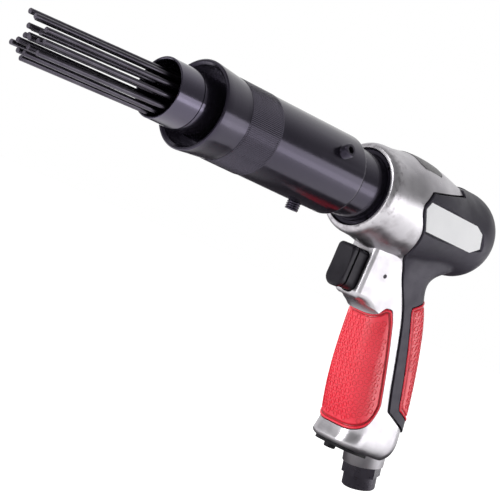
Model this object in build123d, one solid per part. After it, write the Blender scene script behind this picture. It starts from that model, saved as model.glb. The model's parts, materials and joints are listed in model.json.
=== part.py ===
from build123d import *
import os
from math import atan2, cos, pi, radians, sin, tan

os.makedirs("parts", exist_ok=True)

# Pistol-grip needle scaler, in millimetres.
# Sizes are laid out on the barrel line: X runs backwards from the front rim of the head, Z is up.
# Every piece is then moved so that the part's origin is the mouth of the air inlet.

# Clearances
running_gap = 0.05
slide_gap = 0.3
seam = 0.8
grip_seam = 0.5
seat_gap = 0.05

# Head of the casting, turned about the barrel line
# Walls are measured out from the cylinder, the rim's from the opening
rim_wall = 1.5
shoulder_x, shoulder_wall = 9.0, 7.4
crown_x, crown_wall = 25.0, 9.5
waist_x, waist_wall = 60.0, 7.3
dome_x, dome_wall, dome_depth = 87.7, 4.8, 24.2
opening_depth = 10.0

# Handle stations: height, front, rear, half width at the front and at the rear
handle_stations = [
    (-10.0, 38.0, 90.0, 22.0, 18.0),
    (-20.0, 38.0, 90.0, 19.2, 15.2),
    (-27.0, 38.2, 82.0, 16.8, 14.6),
    (-34.0, 38.8, 76.0, 15.6, 15.0),
    (-42.0, 40.0, 77.0, 15.4, 15.6),
    (-52.0, 41.6, 82.4, 15.7, 16.1),
    (-64.0, 43.2, 88.0, 16.0, 16.6),
    (-80.0, 45.6, 93.8, 16.6, 17.0),
    (-97.0, 49.0, 98.9, 17.2, 17.4),
    (-110.0, 52.6, 102.2, 17.7, 17.6),
    (-122.0, 57.2, 104.4, 18.4, 18.0),
    (-130.0, 59.6, 105.0, 19.0, 18.4),
    (-136.0, 58.4, 103.0, 19.2, 18.2),
    (-140.5, 60.6, 98.5, 17.8, 16.8),
]
handle_corner = 12.0
neck_blend = 8.0
base_z = handle_stations[-1][0]
neck_top_z, neck_foot_z = -15.0, handle_stations[3][0]

# Trigger housing below the head
housing_front_x = 24.0
housing_half_front = 10.1
housing_flush_x, housing_half_flush, housing_flush_round = 52.0, 15.75, 25.0
housing_rear_x, housing_half_rear = 60.0, 15.0
housing_corner = 3.0
lip_drop = 2.4
finger_radius = 12.5
housing_edge_round = 4.0
finger_start_x = 29.5

# Soft cover, grips and how far they stand out of the casting or sink into it
boot_proud = 1.2
boot_sink = 2.2
grip_proud = 0.9
grip_sink = 1.8
rear_grip_proud = 1.7
rear_grip_floor = 0.2
grip_border = 2.6
grip_field_drop = 0.6

# Bare plates
label_front_x, label_front_sink = 30.0, 0.7
label_rear_x, label_rear_sink = 88.0, 0.2
label_thickness = 0.6
label_margin = 0.4
label_recess_slope = 1.2
badge_front_x, badge_rear_x, badge_half_width = 25.0, 45.5, 17.0
badge_corner = 3.0
badge_proud, badge_sink = 0.3, 0.6

# Air inlet at the foot of the handle
inlet_x, inlet_drop = 101.6, 19.8
inlet_rake = 17.0
inlet_bore_radius = 5.9
inlet_thread_depth = 14.0
bushing_radius = 10.1
bushing_skirt = 8.0
bushing_hex = 20.6
bushing_hex_turn = 26.5
bushing_hex_height = 6.4
spigot_radius = 8.5
spigot_length = 13.0
spigot_bore_radius = 4.6
washer_thickness = 0.4
washer_radius = 9.8
boss_radius = 12.5
boss_top_radius = 13.6
boss_height = 30.0
air_passage_radius = 6.0
strainer_length = 9.0
strainer_wall = 0.5

# Exhaust
exhaust_foot_x, exhaust_top_x, exhaust_top_z = 73.0, 54.5, -67.0
exhaust_radius = 4.6
exhaust_port_radius = 2.2
exhaust_port_y = 10.5
exhaust_port_x = 49.0
plate_thickness = 1.8
plate_rear_x = 79.0
plate_inset = 0.6
muffler_length = 34.0
muffler_lift = 3.0
plate_slot_width, plate_slot_length, plate_slot_pitch = 1.6, 9.0, 3.2
plate_slots = 3
screw_x = 64.6
screw_radius, screw_head_radius, screw_head_height, screw_length = 1.8, 3.6, 2.4, 6.0

# Trigger and throttle
trigger_drop, trigger_height, throttle_drop = 2.3, 24.6, 8.7
trigger_front_x = 10.0
trigger_pad_depth = 5.0
trigger_half, trigger_pad_overhang = 6.2, 0.7
trigger_rear_x = 32.0
trigger_travel = 5.0
trigger_corner = 2.2
trigger_foot_round = 5.2
trigger_front_round, trigger_back_round = 2.4, 1.3
trigger_groove_x, trigger_groove_depth = 1.4, 0.8
pocket_gap = 0.7
pin_x, pin_radius, pin_recess = 36.7, 1.25, 2.0
plunger_radius = 5.8
plunger_rear_x = 42.0
throttle_bush_radius = 7.5
throttle_bush_length = 13.0
throttle_stem_radius = 2.5
throttle_port_radius = 3.6
throttle_head_radius = 5.6
throttle_head_length = 2.5
throttle_chamber_end_x = 72.0
throttle_spring_radius, throttle_wire_radius, throttle_turns = 4.2, 0.35, 3

# Cylinder and what moves in it
cylinder_step = 0.6
cylinder_front_x, cylinder_rear_x = -46.0, 52.0
piston_bore_radius = 11.0
cylinder_nose = 24.0
anvil_side_gap, anvil_stem_radius = 4.6, 8.0
anvil_head = 8.0
anvil_stem_reach = 2.0
anvil_travel = 6.0
piston_length = 38.0
piston_rear_gap = 2.0
valve_block_length = 12.0
valve_cover_length = 10.0
valve_chamber_radius, valve_chamber_depth = 12.0, 4.0
valve_disc_thickness = 2.0
bore_end_gap = 1.0
ring_front_x, ring_length, ring_width = 1.2, 7.0, 3.3
seal_radius, seal_x = 1.2, 30.0

# Needle head on the front of the cylinder
sleeve_rear_x, sleeve_length = -19.5, 117.3
sleeve_wall, sleeve_lip = 2.9, 1.9
sleeve_flare = 20.8
sleeve_lip_width = 2.0
sleeve_mouth_wall = 2.8
sleeve_mouth_chamfer = 1.2
sleeve_mouth_depth = 12.0
sleeve_shoulder = 5.0
sleeve_rear_round = 3.3
knurl_setback, knurl_length = 22.2, 22.1
knurl_groove_width, knurl_groove_depth = 0.6, 0.25
set_screw_x, set_screw_radius, set_screw_proud = -41.0, 4.0, 4.9
set_screw_socket_radius, set_screw_socket_depth = 2.3, 3.0
set_screw_angles = (30.0, 150.0, 270.0)
tube_reach, tube_wall = 26.0, 1.3
tube_groove_reach, tube_groove_width, tube_groove_depth = 9.4, 0.8, 0.35
tube_flange, tube_flange_width = 4.0, 3.2
holder_thickness, holder_travel = 10.0, 10.0
needle_spring_wire, needle_spring_turns = 1.1, 4

# Needles: one in the middle, then two rings, resting at slightly different depths
needle_length, needle_radius = 180.0, 1.5
needle_head_radius, needle_head_length = 2.1, 4.0
needle_hole_gap = 0.5
needle_ring_pitch, needle_play = 5.7, 2.9
needle_rings = [(0, 1, 90.0), (1, 6, 66.0), (2, 12, 90.0)]
needle_droop = 2.0
needle_back_play = 9.7
needle_stagger = [0, -2, 3, 1, 0, -4, 3, -6, -6, 0, 1, 0, -3, 0, 0, -2, 5, 5, 3]
needle_splay = [-1, -1, -2, 1, 0, -2, 0, 0, 0, 0, 0, 2, -2, 0, -3, 0, 0, -4, 0]
splay_step = 0.22

# Radii that follow from one another: needle bundle, guide tube, sleeve, cylinder, head of the casting
tube_bore_radius = needle_rings[-1][0] * needle_ring_pitch + needle_radius + needle_play
tube_radius = tube_bore_radius + tube_wall
holder_radius = tube_radius + tube_flange_width
sleeve_bore_radius = holder_radius + slide_gap
sleeve_radius = sleeve_bore_radius + sleeve_wall
sleeve_lip_radius = sleeve_radius + sleeve_lip
sleeve_mouth_radius = sleeve_lip_radius - sleeve_mouth_wall
set_screw_tip_radius = sleeve_radius + set_screw_proud
anvil_radius = sleeve_bore_radius - anvil_side_gap
cylinder_radius = sleeve_bore_radius - cylinder_step
opening_radius = cylinder_radius + ring_width
rim_radius = opening_radius + rim_wall
shoulder_radius = cylinder_radius + shoulder_wall
crown_radius = cylinder_radius + crown_wall
waist_radius = cylinder_radius + waist_wall
dome_radius = cylinder_radius + dome_wall

# Places that follow from the sizes above
label_front_y = label_front_sink - crown_radius
label_rear_y = label_rear_sink - dome_radius
trigger_top_z = -crown_radius - trigger_drop
trigger_foot_z = trigger_top_z - trigger_height
throttle_z = trigger_top_z - throttle_drop
lip_z = trigger_foot_z - lip_drop
inlet_z = base_z - inlet_drop
inlet_tilt = radians(inlet_rake)
inlet_plane = Plane(
    origin=(inlet_x, 0, inlet_z),
    x_dir=(cos(inlet_tilt), 0, sin(inlet_tilt)),
    z_dir=(-sin(inlet_tilt), 0, cos(inlet_tilt)),
)
boss_foot = bushing_skirt + bushing_hex_height + washer_thickness
pocket_rear_x = trigger_rear_x + trigger_travel + slide_gap
plunger_end_x = plunger_rear_x + trigger_travel + slide_gap
throttle_bush_x = plunger_end_x + 1.0
throttle_bush_end_x = throttle_bush_x + throttle_bush_length
valve_cover_x = cylinder_rear_x + valve_block_length
bore_end_x = valve_cover_x + valve_cover_length + bore_end_gap
anvil_rear_x = cylinder_front_x - slide_gap
anvil_front_x = anvil_rear_x - anvil_head
anvil_tail_x = cylinder_front_x + cylinder_nose + anvil_stem_reach
piston_rear_x = cylinder_rear_x - piston_rear_gap
piston_front_x = piston_rear_x - piston_length
sleeve_front_x = sleeve_rear_x - sleeve_length
sleeve_flare_x = sleeve_front_x + sleeve_flare
knurl_front_x = sleeve_front_x + knurl_setback
knurl_rear_x = knurl_front_x + knurl_length
tube_front_x = sleeve_front_x - tube_reach
tube_groove_x = sleeve_front_x - tube_groove_reach
needle_tip_x = anvil_front_x - anvil_travel - needle_back_play - needle_length
sleeve_shoulder_x = sleeve_front_x + sleeve_mouth_depth
sleeve_bore_x = sleeve_shoulder_x + sleeve_shoulder
flange_front_x = sleeve_bore_x + seat_gap
flange_rear_x = flange_front_x + tube_flange
holder_front_x = flange_rear_x + 2 * needle_spring_wire * needle_spring_turns + holder_travel
holder_rear_x = holder_front_x + holder_thickness
plate_foot_z = base_z - plate_thickness


def along_x(x, y=0.0, z=0.0):
    # Plane at x whose normal points backwards along the barrel line
    return Plane(origin=(x, y, z), x_dir=(0, 1, 0), z_dir=(1, 0, 0))


def rod(x_from, x_to, radius, z=0.0):
    # Round bar along the barrel line
    length = x_to - x_from
    return along_x(x_from, z=z) * Pos(0, 0, length / 2) * Cylinder(radius, length)


def tube_x(x_from, x_to, outer, inner, z=0.0):
    return rod(x_from, x_to, outer, z) - rod(x_from, x_to, inner, z)


def turned(points):
    # Solid of revolution about the barrel line from (x, radius) corners
    return revolve(make_face(Plane.XZ * Polyline(*points, close=True)), Axis.X)


def side_prism(outline, half_width):
    # Side outline in X and Z, carried across the whole width
    return extrude(Plane.XZ * outline, amount=half_width, both=True)


def bar(start, end, radius):
    # Round bar between two points
    start, end = Vector(*start), Vector(*end)
    direction = end - start
    plane = Plane(origin=start, z_dir=direction.normalized())
    return plane * Pos(0, 0, direction.length / 2) * Cylinder(radius, direction.length)


def save(name, shape):
    # The origin moves to the mouth of the inlet
    moved = Pos(-inlet_x, 0, -inlet_z) * shape
    solids = moved.solids()
    export_step(solids[0] if len(solids) == 1 else Compound(solids), f"parts/{name}.step")


# Outer forms of the casting, grown or shrunk evenly

def head_form(grow):
    crown = Spline(
        (0, rim_radius + grow),
        (shoulder_x, shoulder_radius + grow),
        (crown_x, crown_radius + grow),
        (waist_x, waist_radius + grow),
        (dome_x, dome_radius + grow),
        tangents=[(0.45, 0.9), (1, 0)],
    )
    end_x = dome_x + dome_depth + grow
    dome = Spline(
        (dome_x, dome_radius + grow),
        (dome_x + (dome_depth + grow) * sin(pi / 4), (dome_radius + grow) * cos(pi / 4)),
        (end_x, 0),
        tangents=[(1, 0), (0, -1)],
    )
    axis_line = Polyline((end_x, 0), (0, 0), (0, rim_radius + grow))
    return revolve(make_face(Plane.XZ * Curve([crown, dome, axis_line])), Axis.X)


def handle_section(station, grow):
    z, front, rear, half_front, half_rear = station
    corners = Polyline(
        (front - grow, half_front + grow),
        (front - grow, -half_front - grow),
        (rear + grow, -half_rear - grow),
        (rear + grow, half_rear + grow),
        close=True,
    )
    outline = make_face(corners)
    return Pos(0, 0, z) * fillet(outline.vertices(), handle_corner + grow)


def handle_form(grow):
    return loft([handle_section(station, grow) for station in handle_stations])


def casting_form(grow):
    # Head and handle, blended where they meet
    casting = head_form(grow) + handle_form(grow)
    curved = [edge for edge in casting.edges() if edge.geom_type == GeomType.BSPLINE]
    joint = [edge for edge in curved if neck_foot_z < edge.center().Z < neck_top_z]
    return fillet(joint, neck_blend - grow)


def housing_form():
    plan = make_face(
        Polyline(
            (housing_front_x, housing_half_front),
            (housing_front_x, -housing_half_front),
            (housing_flush_x, -housing_half_flush),
            (housing_rear_x, -housing_half_rear),
            (housing_rear_x, housing_half_rear),
            (housing_flush_x, housing_half_flush),
            close=True,
        )
    )
    plan = fillet(plan.vertices().group_by(Axis.X)[1], housing_flush_round)
    plan = fillet(plan.vertices().group_by(Axis.X)[0], housing_corner)
    finger_x = finger_start_x + finger_radius
    finger_z = lip_z - finger_radius
    front = Polyline(
        (finger_x, finger_z),
        (housing_rear_x, finger_z),
        (housing_rear_x, 0),
        (housing_front_x, 0),
        (housing_front_x, lip_z),
        (finger_start_x, lip_z),
    )
    finger = CenterArc((finger_start_x, finger_z), finger_radius, 0, 90)
    side = side_prism(make_face(Curve([front, finger])), 40)
    housing = side & extrude(plan, amount=-finger_z, dir=(0, 0, -1))
    low = [face for face in housing.faces() if face.normal_at(face.center()).Z < -0.5]
    under = [face for face in low if face.center().X < finger_x]
    edges = [edge for face in under for edge in face.edges() if abs(edge.center().Y) > 2]
    return fillet(edges, housing_edge_round)


# Side outlines of the cover, the grips and the label

def side_outline(edges, rounds, shrink):
    # Outline from its edges, with the corners nearest to the given points rounded
    outline = make_face(Curve(edges))
    for x, z, radius in rounds:
        corner = outline.vertices().sort_by_distance((x, z, 0))[0]
        outline = fillet(corner, radius)
    return offset(outline, -shrink) if shrink else outline


def boot_outline(inset):
    # Corners of the cover's edge, each moved backwards and away from the edge by the inset
    crest = [(79.0, 60.0), (79.0, 26.4), (67.4, 24.6), (67.0, 21.0), (30.8, 14.2), (27.0, 8.0)]
    front = [
        (25.3, 3.0), (27.3, -1.7), (30.7, -6.0), (34.6, -12.5), (37.4, -20.0), (41.2, -25.5), (44.2, -30.0),
        (48.0, -38.5), (54.6, -48.8), (64.8, -70.6), (73.2, -95.0),
    ]
    foot = [(79.6, -112.2), (97.0, -119.4), (112.0, -125.0), (150.0, -125.0)]
    crest = [(x + inset, z - inset) for x, z in crest]
    front = [(x + inset, z) for x, z in front]
    foot = [(x + inset, z + inset) for x, z in foot]
    back = Polyline(*foot, (foot[-1][0], 60.0), crest[0])
    return make_face(Curve([Polyline(*crest), Spline(crest[-1], *front, foot[0]), back]))


def grip_front_outline(shrink):
    top = Polyline((20.0, -64.4), (41.0, -64.4), (46.4, -56.6), (51.0, -56.2), (55.0, -63.0))
    side = ThreePointArc((55.0, -63.0), (64.0, -85.5), (72.4, -110.0))
    foot = ThreePointArc((72.4, -110.0), (67.4, -124.2), (52.0, -132.8))
    front = Polyline((52.0, -132.8), (20.0, -132.8), (20.0, -64.4))
    rounds = [(41.0, -64.4, 6.0), (46.4, -56.6, 3.0), (51.0, -56.2, 3.0)]
    return side_outline([top, side, foot, front], rounds, shrink)


def grip_rear_outline(shrink):
    top = Polyline((130.0, -37.0), (81.0, -40.0), (63.8, -50.6), (64.2, -53.5))
    side = ThreePointArc((64.2, -53.5), (74.4, -76.0), (85.4, -106.0))
    foot = Polyline((85.4, -106.0), (87.2, -109.4), (112.0, -118.5), (130.0, -118.5), (130.0, -37.0))
    rounds = [(81.0, -40.0, 6.0), (87.2, -109.4, 2.0)]
    return side_outline([top, side, foot], rounds, shrink)


def label_outline(grow):
    outline = make_face(
        Polyline(
            (28.0, 3.4),
            (30.2, 8.1),
            (77.4, 7.9),
            (84.9, 4.8),
            (88.2, -3.5),
            (80.2, -7.9),
            (35.4, -8.1),
            close=True,
        )
    )
    return offset(outline, grow, kind=Kind.INTERSECTION) if grow else outline


def badge_outline(shrink):
    front, rear, half = badge_front_x + shrink, badge_rear_x - shrink, badge_half_width - shrink
    plate = Pos((front + rear) / 2, 0) * Rectangle(rear - front, 2 * half)
    return chamfer(plate.vertices(), badge_corner)


reach = 60.0
boot_region = side_prism(boot_outline(0), reach)
grip_front_region = side_prism(grip_front_outline(0), reach)
grip_rear_region = side_prism(grip_rear_outline(0), reach)
badge_region = extrude(badge_outline(0), amount=reach)
under_boot = casting_form(-boot_sink)
under_grip = handle_form(-grip_sink)
under_badge = head_form(-badge_sink)


# The label lies on a flat floor that follows the taper of the boot's side
label_slant = atan2(label_rear_y - label_front_y, label_rear_x - label_front_x)
label_plane = Plane(
    origin=(label_front_x, label_front_y, 0),
    x_dir=(cos(label_slant), sin(label_slant), 0),
    z_dir=(sin(label_slant), -cos(label_slant), 0),
)


def label_face(grow, height):
    return label_plane * Pos(-label_front_x, 0, height) * label_outline(grow)


def trigger_block(x_from, x_to, grow):
    # Bar along the trigger's travel with rounded corners, larger ones at its foot
    top_z, foot_z = trigger_top_z + grow, trigger_foot_z - grow
    half = trigger_half + grow
    outline = Pos(0, (top_z + foot_z) / 2) * Rectangle(2 * half, top_z - foot_z)
    rows = outline.vertices().group_by(Axis.Y)
    outline = fillet(rows[0], trigger_foot_round + grow)
    outline = fillet(outline.vertices().group_by(Axis.Y)[-1], trigger_corner + grow)
    return along_x(x_from) * extrude(outline, amount=x_to - x_from)


# Casting
def make_body():
    body = casting_form(0) + housing_form()
    boss = Cone(boss_radius, boss_top_radius, boss_height)
    body += inlet_plane * Pos(0, 0, boss_foot + boss_height / 2) * boss
    body -= boot_region - under_boot
    body -= grip_front_region - under_grip
    body -= badge_region - under_badge
    body -= rod(-1, bore_end_x, cylinder_radius + running_gap)
    body -= rod(-1, opening_depth, opening_radius)
    body -= trigger_block(housing_front_x - 5, pocket_rear_x, pocket_gap)
    body -= rod(pocket_rear_x - 1, throttle_bush_x, plunger_radius + slide_gap, throttle_z)
    body -= rod(throttle_bush_x - 1, throttle_bush_end_x, throttle_bush_radius + seat_gap, throttle_z)
    body -= rod(throttle_bush_end_x - 1, throttle_chamber_end_x, throttle_bush_radius - 0.5, throttle_z)
    body -= bar((pin_x, -reach, throttle_z), (pin_x, reach, throttle_z), pin_radius)
    feed_x = (cylinder_rear_x + valve_cover_x) / 2
    body -= bar((feed_x, 0, throttle_z), (feed_x, 0, -cylinder_radius + 2), throttle_port_radius - 0.6)
    air_top = (throttle_z - inlet_z) / cos(inlet_tilt)
    air_length = air_top - boss_foot
    body -= inlet_plane * Pos(0, 0, boss_foot + air_length / 2) * Cylinder(air_passage_radius, air_length)
    spigot_hole = Cylinder(spigot_radius + seat_gap, spigot_length + 1)
    body -= inlet_plane * Pos(0, 0, boss_foot + (spigot_length + 1) / 2) * spigot_hole
    exhaust = bar((exhaust_foot_x, 0, base_z - 2), (exhaust_top_x, 0, exhaust_top_z), exhaust_radius)
    body -= exhaust
    for side in (-1, 1):
        y = side * exhaust_port_y
        port_foot = (exhaust_top_x, y * 0.3, exhaust_top_z - 6)
        body -= bar((exhaust_port_x, y, -15), port_foot, exhaust_port_radius)
    body -= Pos(screw_x, 0, base_z + (screw_length - plate_thickness) / 2) * Cylinder(
        screw_radius, screw_length - plate_thickness
    )
    return body


# Soft cover and grips
def make_boot():
    boot = casting_form(boot_proud) & side_prism(boot_outline(seam), reach)
    boot -= casting_form(-boot_sink + seat_gap)
    boot -= grip_rear_region - handle_form(rear_grip_floor)
    rise = 5.0
    floor = label_face(label_margin, 0)
    mouth = label_face(label_margin + rise * label_recess_slope, rise)
    return boot - loft([floor, mouth], ruled=True)


def make_grip_front():
    grip = handle_form(grip_proud) & side_prism(grip_front_outline(grip_seam), reach)
    grip -= handle_form(-grip_sink + seat_gap)
    field = side_prism(grip_front_outline(grip_border), reach)
    return grip - (field - handle_form(grip_proud - grip_field_drop))


def make_grip_rear():
    grip = handle_form(rear_grip_proud) & side_prism(grip_rear_outline(grip_seam), reach)
    grip -= handle_form(rear_grip_floor + seat_gap)
    field = side_prism(grip_rear_outline(grip_border), reach)
    return grip - (field - handle_form(rear_grip_proud - grip_field_drop))


def make_label():
    return extrude(label_face(0, seat_gap), amount=label_thickness)


def make_badge():
    plate = extrude(badge_outline(slide_gap), amount=reach) & head_form(badge_proud)
    return plate - head_form(-badge_sink + seat_gap)


# Trigger: finger pad, block that slides in the pocket and round plunger behind it
def make_trigger():
    pad_rear_x = trigger_front_x + trigger_pad_depth
    pad = trigger_block(trigger_front_x, pad_rear_x, trigger_pad_overhang)
    pad = fillet(pad.faces().sort_by(Axis.X)[0].edges(), trigger_front_round)
    pad = fillet(pad.faces().sort_by(Axis.X)[-1].edges(), trigger_back_round)
    middle_z = (trigger_top_z + trigger_foot_z) / 2
    pad -= Pos(trigger_front_x - 58.8, 0, middle_z) * Rot(90, 0, 0) * Cylinder(60, 40)
    block_x = pad_rear_x + trigger_groove_x
    trigger = pad + trigger_block(pad_rear_x - 1, block_x + 1, -trigger_groove_depth)
    trigger += trigger_block(block_x, trigger_rear_x, 0)
    trigger += rod(trigger_rear_x - 1, plunger_rear_x, plunger_radius, throttle_z)
    slot_radius = pin_radius + slide_gap
    slot = Pos(pin_x - trigger_travel / 2, 0, throttle_z) * Box(trigger_travel, 40, 2 * slot_radius)
    for x in (pin_x - trigger_travel, pin_x):
        slot += bar((x, -20, throttle_z), (x, 20, throttle_z), slot_radius)
    return trigger - slot


def make_trigger_pin():
    slope = (housing_half_flush - housing_half_front) / (housing_flush_x - housing_front_x)
    half = housing_half_front + (pin_x - housing_front_x) * slope - pin_recess
    return bar((pin_x, -half, throttle_z), (pin_x, half, throttle_z), pin_radius)


def make_throttle_bush():
    bush = rod(throttle_bush_x, throttle_bush_end_x, throttle_bush_radius, throttle_z)
    bush -= rod(throttle_bush_x - 1, throttle_bush_x + 4.0, throttle_stem_radius + running_gap, throttle_z)
    bush -= rod(throttle_bush_x + 3.0, throttle_bush_end_x + 1, throttle_port_radius, throttle_z)
    port_x = (throttle_bush_x + throttle_bush_end_x) / 2 + 1
    bush -= bar((port_x, 0, throttle_z), (port_x, 0, throttle_z + 20), throttle_port_radius - 1)
    groove_x = throttle_bush_x + 2.0
    groove_radius = throttle_bush_radius - 1.2
    return bush - tube_x(groove_x - 0.9, groove_x + 0.9, throttle_bush_radius + 1, groove_radius, throttle_z)


def make_throttle_seal():
    x = throttle_bush_x + 2.0
    ring = Torus(throttle_bush_radius - 0.55, 0.5)
    return along_x(x, z=throttle_z) * ring


def make_throttle_valve():
    head_x = throttle_bush_end_x + seat_gap
    valve = rod(plunger_rear_x + seat_gap, head_x + 0.5, throttle_stem_radius, throttle_z)
    valve += rod(head_x, head_x + throttle_head_length, throttle_head_radius, throttle_z)
    valve += rod(head_x, head_x + throttle_head_length + 1.5, 2.6, throttle_z)
    return valve


def coil(x_from, x_to, radius, wire, turns, z=0.0):
    # Round wire spring along the barrel line, its ends resting on both seats
    length = x_to - x_from - 2 * wire
    path = Helix(length / turns, length, radius)
    section = Plane(origin=path @ 0, z_dir=path % 0) * Circle(wire)
    return along_x(x_from + wire, z=z) * sweep(section, path, is_frenet=True)


def make_throttle_spring():
    front_x = throttle_bush_end_x + throttle_head_length + 2 * seat_gap
    rear_x = throttle_chamber_end_x - seat_gap
    return coil(front_x, rear_x, throttle_spring_radius, throttle_wire_radius, throttle_turns, throttle_z)


# Cylinder, piston and valve
def make_cylinder():
    cylinder = rod(cylinder_front_x, cylinder_rear_x, cylinder_radius)
    cylinder -= rod(cylinder_front_x + cylinder_nose, cylinder_rear_x + 1, piston_bore_radius)
    cylinder -= rod(cylinder_front_x - 1, cylinder_rear_x, anvil_stem_radius + running_gap)
    groove = cylinder_radius - 2 * seal_radius - 3 * seat_gap
    cylinder -= tube_x(seal_x - 1.5, seal_x + 1.5, cylinder_radius + 1, groove)
    for angle in set_screw_angles:
        seat = along_x(set_screw_x) * Rot(0, 0, angle) * Pos(cylinder_radius, 0, 0) * Rot(0, 90, 0)
        cylinder -= seat * Cylinder(set_screw_radius + seat_gap, 2.0)
    for angle in (45, 135, 225, 315):
        cylinder -= Rot(angle, 0, 0) * bar((16, 0, 0), (16, 0, 30), 2.4)
    return cylinder


def make_cylinder_seal():
    return along_x(seal_x) * Torus(cylinder_radius - seal_radius - seat_gap, seal_radius)


def make_piston():
    radius = piston_bore_radius - running_gap
    piston = turned([
        (piston_front_x, 0),
        (piston_front_x, radius - 3),
        (piston_front_x + 2, radius - 1),
        (piston_front_x + 10, radius - 1),
        (piston_front_x + 10, radius),
        (piston_rear_x - 1, radius),
        (piston_rear_x, radius - 1),
        (piston_rear_x, 0),
    ])
    return piston - rod(piston_rear_x - 14, piston_rear_x + 1, 5.0)


def make_anvil():
    radius = anvil_stem_radius
    return turned([
        (anvil_front_x, 0),
        (anvil_front_x, anvil_radius - 1),
        (anvil_front_x + 1, anvil_radius),
        (anvil_rear_x, anvil_radius),
        (anvil_rear_x, radius),
        (anvil_tail_x - 1, radius),
        (anvil_tail_x, radius - 1),
        (anvil_tail_x, 0),
    ])


def make_valve_block():
    block = rod(cylinder_rear_x, valve_cover_x, cylinder_radius)
    block -= rod(valve_cover_x - valve_chamber_depth, valve_cover_x + 1, valve_chamber_radius)
    block -= rod(cylinder_rear_x - 1, valve_cover_x, 4.0)
    for angle in range(0, 360, 60):
        block -= Rot(angle, 0, 0) * bar((cylinder_rear_x - 1, 0, 8.0), (valve_cover_x, 0, 8.0), 1.5)
    return block


def make_valve_disc():
    front_x = valve_cover_x - valve_chamber_depth + slide_gap
    radius = valve_chamber_radius - slide_gap
    return rod(front_x, front_x + valve_disc_thickness, radius)


def make_valve_cover():
    cover = rod(valve_cover_x, valve_cover_x + valve_cover_length, cylinder_radius)
    cover -= rod(valve_cover_x - 1, valve_cover_x + 4, 3.0)
    for angle in range(30, 390, 60):
        cover -= Rot(angle, 0, 0) * bar((valve_cover_x - 1, 0, 9.0), (valve_cover_x + 20, 0, 9.0), 1.6)
    return cover


def make_retaining_ring():
    outer = opening_radius - seat_gap
    rear_x = ring_front_x + ring_length
    ring = turned([
        (ring_front_x, cylinder_radius + slide_gap),
        (ring_front_x, outer - 1.2),
        (ring_front_x + 1.2, outer),
        (rear_x, outer),
        (rear_x, cylinder_radius + seat_gap),
        (ring_front_x + 2.0, cylinder_radius + seat_gap),
    ])
    middle = (cylinder_radius + outer) / 2
    for angle in (45, 135, 225, 315):
        hole = bar((ring_front_x - 1, 0, middle), (ring_front_x + 2.5, 0, middle), 0.9)
        ring -= Rot(angle, 0, 0) * hole
    return ring


# Needle head
def make_sleeve():
    front, rear = sleeve_front_x, sleeve_rear_x
    bore = sleeve_bore_radius
    guide = tube_radius + running_gap
    outline = Polyline(
        (rear, sleeve_radius - sleeve_rear_round),
        (rear, cylinder_radius + running_gap),
        (cylinder_front_x, cylinder_radius + running_gap),
        (cylinder_front_x, bore),
        (sleeve_bore_x, bore),
        (sleeve_bore_x, guide),
        (sleeve_shoulder_x, guide),
        (sleeve_shoulder_x, sleeve_mouth_radius),
        (front + sleeve_mouth_chamfer, sleeve_mouth_radius),
        (front, sleeve_mouth_radius + sleeve_mouth_chamfer),
        (front, sleeve_lip_radius - 0.6),
        (front + 0.6, sleeve_lip_radius),
        (front + sleeve_lip_width, sleeve_lip_radius),
        (sleeve_flare_x, sleeve_radius),
        (rear - sleeve_rear_round, sleeve_radius),
    )
    centre = (rear - sleeve_rear_round, sleeve_radius - sleeve_rear_round)
    rounded = CenterArc(centre, sleeve_rear_round, 0, 90)
    sleeve = revolve(make_face(Plane.XZ * Curve([outline, rounded])), Axis.X)
    for x in (knurl_front_x, knurl_rear_x):
        sleeve -= tube_x(x, x + knurl_groove_width, sleeve_radius + 1, sleeve_radius - knurl_groove_depth)
    for angle in set_screw_angles:
        hole = along_x(set_screw_x) * Rot(0, 0, angle) * Pos(sleeve_radius, 0, 0) * Rot(0, 90, 0)
        sleeve -= hole * Cylinder(set_screw_radius + seat_gap, 14)
    return sleeve


def make_set_screws():
    foot = cylinder_radius - 0.9
    length = set_screw_tip_radius - foot
    screws = []
    for angle in set_screw_angles:
        place = along_x(set_screw_x) * Rot(0, 0, angle) * Pos(foot, 0, 0) * Rot(0, 90, 0)
        screw = Pos(0, 0, length / 2) * Cylinder(set_screw_radius, length)
        screw = chamfer(screw.edges().group_by(Axis.Z)[-1], 0.5)
        socket = extrude(RegularPolygon(set_screw_socket_radius, 6), amount=-set_screw_socket_depth)
        screws.append(place * (screw - Pos(0, 0, length) * socket))
    return Compound([solid for screw in screws for solid in screw.solids()])


def make_front_tube():
    bore = tube_bore_radius
    groove_end = tube_groove_x + tube_groove_width
    return turned([
        (tube_front_x, bore + 0.4),
        (tube_front_x, tube_radius - 0.3),
        (tube_front_x + 0.3, tube_radius),
        (tube_groove_x, tube_radius),
        (tube_groove_x, tube_radius - tube_groove_depth),
        (groove_end, tube_radius - tube_groove_depth),
        (groove_end, tube_radius),
        (flange_front_x, tube_radius),
        (flange_front_x, holder_radius),
        (flange_rear_x, holder_radius),
        (flange_rear_x, bore),
        (tube_front_x + 0.4, bore),
    ])


def needle_places():
    # Ring place of each needle in the holder, then its own line and resting depth
    index = 0
    for ring, count, first in needle_rings:
        for step in range(count):
            angle = radians(first + 360 * step / count)
            splay = radians(needle_splay[index] * splay_step)
            y, z = ring * needle_ring_pitch * cos(angle), ring * needle_ring_pitch * sin(angle)
            yield index, y, z, splay * cos(angle), splay * sin(angle)
            index += 1


def needle_line(spot):
    # Holder point and forward direction of a needle: all hang by the droop, each leans a little
    index, y, z, lean_y, lean_z = spot
    middle = Vector((holder_front_x + holder_rear_x) / 2, y, z)
    forward = Vector(-1, lean_y, lean_z - tan(radians(needle_droop))).normalized()
    return middle, forward


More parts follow.
